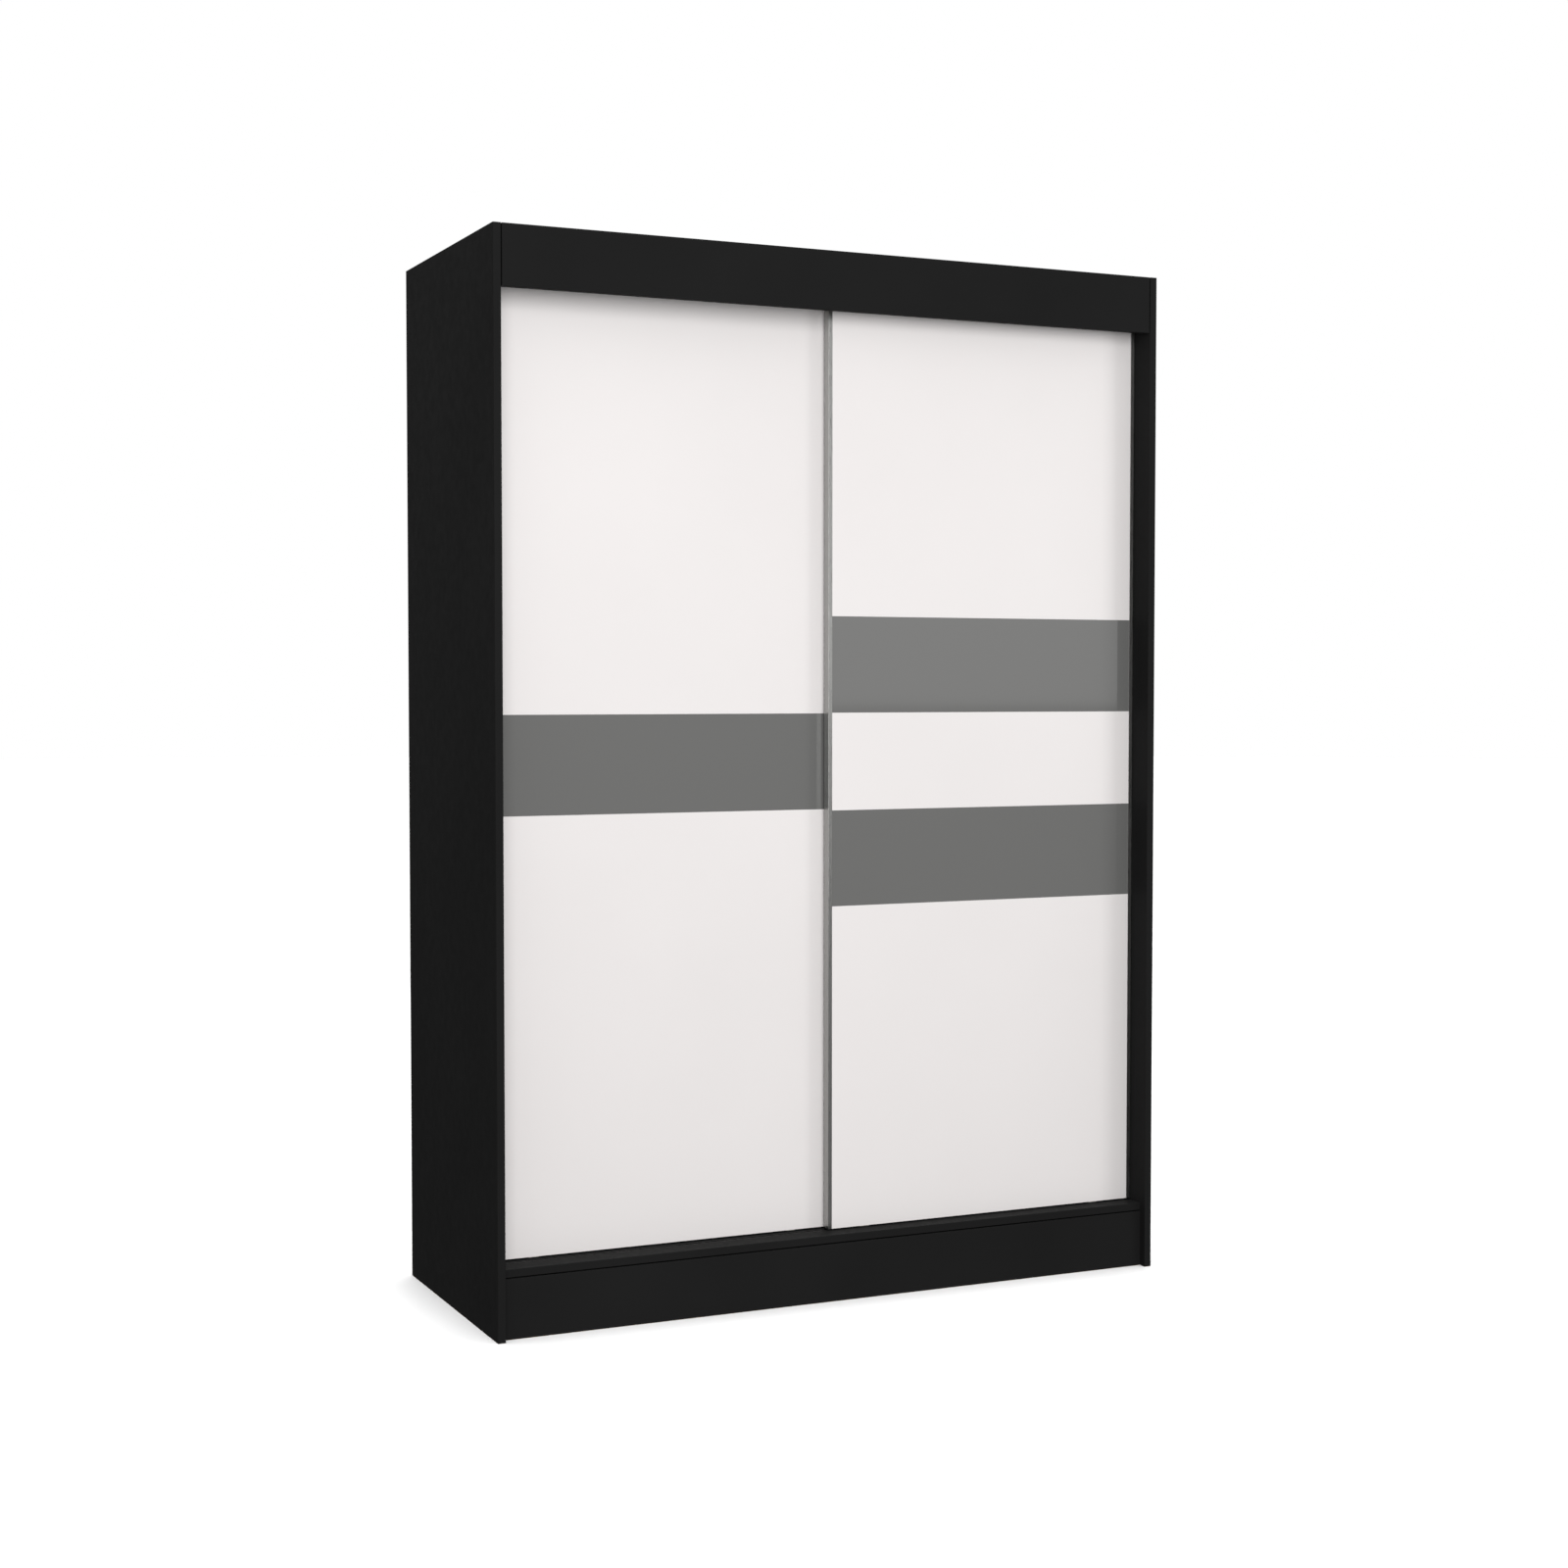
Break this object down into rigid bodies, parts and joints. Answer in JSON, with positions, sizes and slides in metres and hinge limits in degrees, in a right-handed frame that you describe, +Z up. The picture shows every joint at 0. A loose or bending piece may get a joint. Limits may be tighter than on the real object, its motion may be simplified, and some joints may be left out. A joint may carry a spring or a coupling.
{
  "type": "sliding door wardrobe",
  "caption": "Tall free-standing wardrobe with sliding doors in a dark carcass; white doors with grey glass bands and aluminium edge profiles hide hanging space and shelves.",
  "frame": {"origin": "on the floor, at the middle of the footprint", "axes": "+Z up, the doors face -Y, +X to the right as seen from the front"},
  "size_m": [1.5, 0.605, 2.16],
  "materials": {
    "black_melamine": "fine satin melamine foil on chipboard",
    "white_melamine": "smooth satin melamine foil on chipboard",
    "grey_back_painted_glass": "glossy float glass painted grey behind",
    "anodised_aluminium": "satin natural anodised",
    "black_anodised_aluminium": "satin black anodised",
    "chrome_tube": "polished chrome plate",
    "black_hardboard": "black lacquered hardboard",
    "black_plastic": "moulded, matt",
    "grey_plastic": "moulded, matt",
    "white_nylon": "turned nylon, satin",
    "beech": "raw fluted beech",
    "brush_pile": "grey pile weatherstrip",
    "zinc_casting": "nickel-plated zinc casting",
    "zinc_plated_steel": "bright zinc plate"
  },
  "bodies": {
    "cabinet": {"back_nails": "zinc_plated_steel", "back_panel_left": "black_hardboard", "back_panel_right": "black_hardboard", "back_seam_strip": "black_plastic", "bottom_panel": "black_melamine", "bottom_rail_front": "black_anodised_aluminium", "bottom_rail_rear": "black_anodised_aluminium", "cam_bolts": "zinc_plated_steel", "cam_discs": "zinc_casting", "carcass_screws": "zinc_plated_steel", "centre_divider": "black_melamine", "corner_blocks": "black_plastic", "dowels": "beech", "fascia_board": "black_melamine", "fixed_shelf_right": "black_melamine", "hanging_rail": "chrome_tube", "hat_shelf_left": "black_melamine", "plinth_centre_support": "black_melamine", "plinth_front": "black_melamine", "plinth_rear": "black_melamine", "rail_sockets": "zinc_casting", "shelf_1": "black_melamine", "shelf_2": "black_melamine", "shelf_3": "black_melamine", "shelf_4": "black_melamine", "shelf_pins": "zinc_plated_steel", "side_panel_left": "black_melamine", "side_panel_right": "black_melamine", "top_panel": "black_melamine", "top_track": "anodised_aluminium", "track_screws": "zinc_plated_steel", "track_stops": "black_plastic", "wall_brackets": "zinc_plated_steel"},
    "door_left": {"door_left_board": "white_melamine", "door_left_guide_brackets": "zinc_plated_steel", "door_left_profile_inner": "anodised_aluminium", "door_left_profile_outer": "anodised_aluminium", "door_left_screws": "zinc_plated_steel", "door_left_stripe": "grey_back_painted_glass", "door_left_wheel_axles": "zinc_plated_steel", "door_left_wheel_housings": "grey_plastic"},
    "door_left_wheel_outer": {"door_left_wheel_outer": "white_nylon"},
    "door_left_wheel_inner": {"door_left_wheel_inner": "white_nylon"},
    "door_left_guide_roller_outer": {"door_left_guide_roller_outer": "white_nylon"},
    "door_left_guide_roller_inner": {"door_left_guide_roller_inner": "white_nylon"},
    "door_right": {"door_right_board": "white_melamine", "door_right_brush": "brush_pile", "door_right_guide_brackets": "zinc_plated_steel", "door_right_profile_inner": "anodised_aluminium", "door_right_profile_outer": "anodised_aluminium", "door_right_screws": "zinc_plated_steel", "door_right_stripe_lower": "grey_back_painted_glass", "door_right_stripe_upper": "grey_back_painted_glass", "door_right_wheel_axles": "zinc_plated_steel", "door_right_wheel_housings": "grey_plastic"},
    "door_right_wheel_inner": {"door_right_wheel_inner": "white_nylon"},
    "door_right_wheel_outer": {"door_right_wheel_outer": "white_nylon"},
    "door_right_guide_roller_inner": {"door_right_guide_roller_inner": "white_nylon"},
    "door_right_guide_roller_outer": {"door_right_guide_roller_outer": "white_nylon"}
  },
  "joints": [
    {"name": "door_left_slide", "type": "slide", "parent": "cabinet", "child": "door_left", "axis": [1, 0, 0], "range_m": [0, 0.7238]},
    {"name": "door_left_wheel_outer_spin", "type": "hinge", "parent": "door_left", "child": "door_left_wheel_outer", "pos_m": [-0.6434, -0.2025, 0.1465], "axis": [0, 1, 0], "range_deg": [0, 3192]},
    {"name": "door_left_wheel_inner_spin", "type": "hinge", "parent": "door_left", "child": "door_left_wheel_inner", "pos_m": [-0.0804, -0.2025, 0.1465], "axis": [0, 1, 0], "range_deg": [0, 3192]},
    {"name": "door_left_guide_roller_outer_spin", "type": "hinge", "parent": "door_left", "child": "door_left_guide_roller_outer", "pos_m": [-0.6734, -0.20425, 2.116], "axis": [0, 0, 1], "range_deg": [-3457, 0]},
    {"name": "door_left_guide_roller_inner_spin", "type": "hinge", "parent": "door_left", "child": "door_left_guide_roller_inner", "pos_m": [-0.0504, -0.20425, 2.116], "axis": [0, 0, 1], "range_deg": [-3457, 0]},
    {"name": "door_right_slide", "type": "slide", "parent": "cabinet", "child": "door_right", "axis": [1, 0, 0], "range_m": [-0.7238, 0]},
    {"name": "door_right_wheel_inner_spin", "type": "hinge", "parent": "door_right", "child": "door_right_wheel_inner", "pos_m": [0.0804, -0.2295, 0.1465], "axis": [0, 1, 0], "range_deg": [-3192, 0]},
    {"name": "door_right_wheel_outer_spin", "type": "hinge", "parent": "door_right", "child": "door_right_wheel_outer", "pos_m": [0.6434, -0.2295, 0.1465], "axis": [0, 1, 0], "range_deg": [-3192, 0]},
    {"name": "door_right_guide_roller_inner_spin", "type": "hinge", "parent": "door_right", "child": "door_right_guide_roller_inner", "pos_m": [0.0504, -0.23125, 2.116], "axis": [0, 0, 1], "range_deg": [0, 3457]},
    {"name": "door_right_guide_roller_outer_spin", "type": "hinge", "parent": "door_right", "child": "door_right_guide_roller_outer", "pos_m": [0.6734, -0.23125, 2.116], "axis": [0, 0, 1], "range_deg": [0, 3457]}
  ],
  "couplings": [
    {"joint": "door_left_wheel_outer_spin", "follows": "door_left_slide", "rad_per_m": 76.923},
    {"joint": "door_left_wheel_inner_spin", "follows": "door_left_slide", "rad_per_m": 76.923},
    {"joint": "door_left_guide_roller_outer_spin", "follows": "door_left_slide", "rad_per_m": -83.333},
    {"joint": "door_left_guide_roller_inner_spin", "follows": "door_left_slide", "rad_per_m": -83.333},
    {"joint": "door_right_wheel_inner_spin", "follows": "door_right_slide", "rad_per_m": 76.923},
    {"joint": "door_right_wheel_outer_spin", "follows": "door_right_slide", "rad_per_m": 76.923},
    {"joint": "door_right_guide_roller_inner_spin", "follows": "door_right_slide", "rad_per_m": -83.333},
    {"joint": "door_right_guide_roller_outer_spin", "follows": "door_right_slide", "rad_per_m": -83.333}
  ]
}
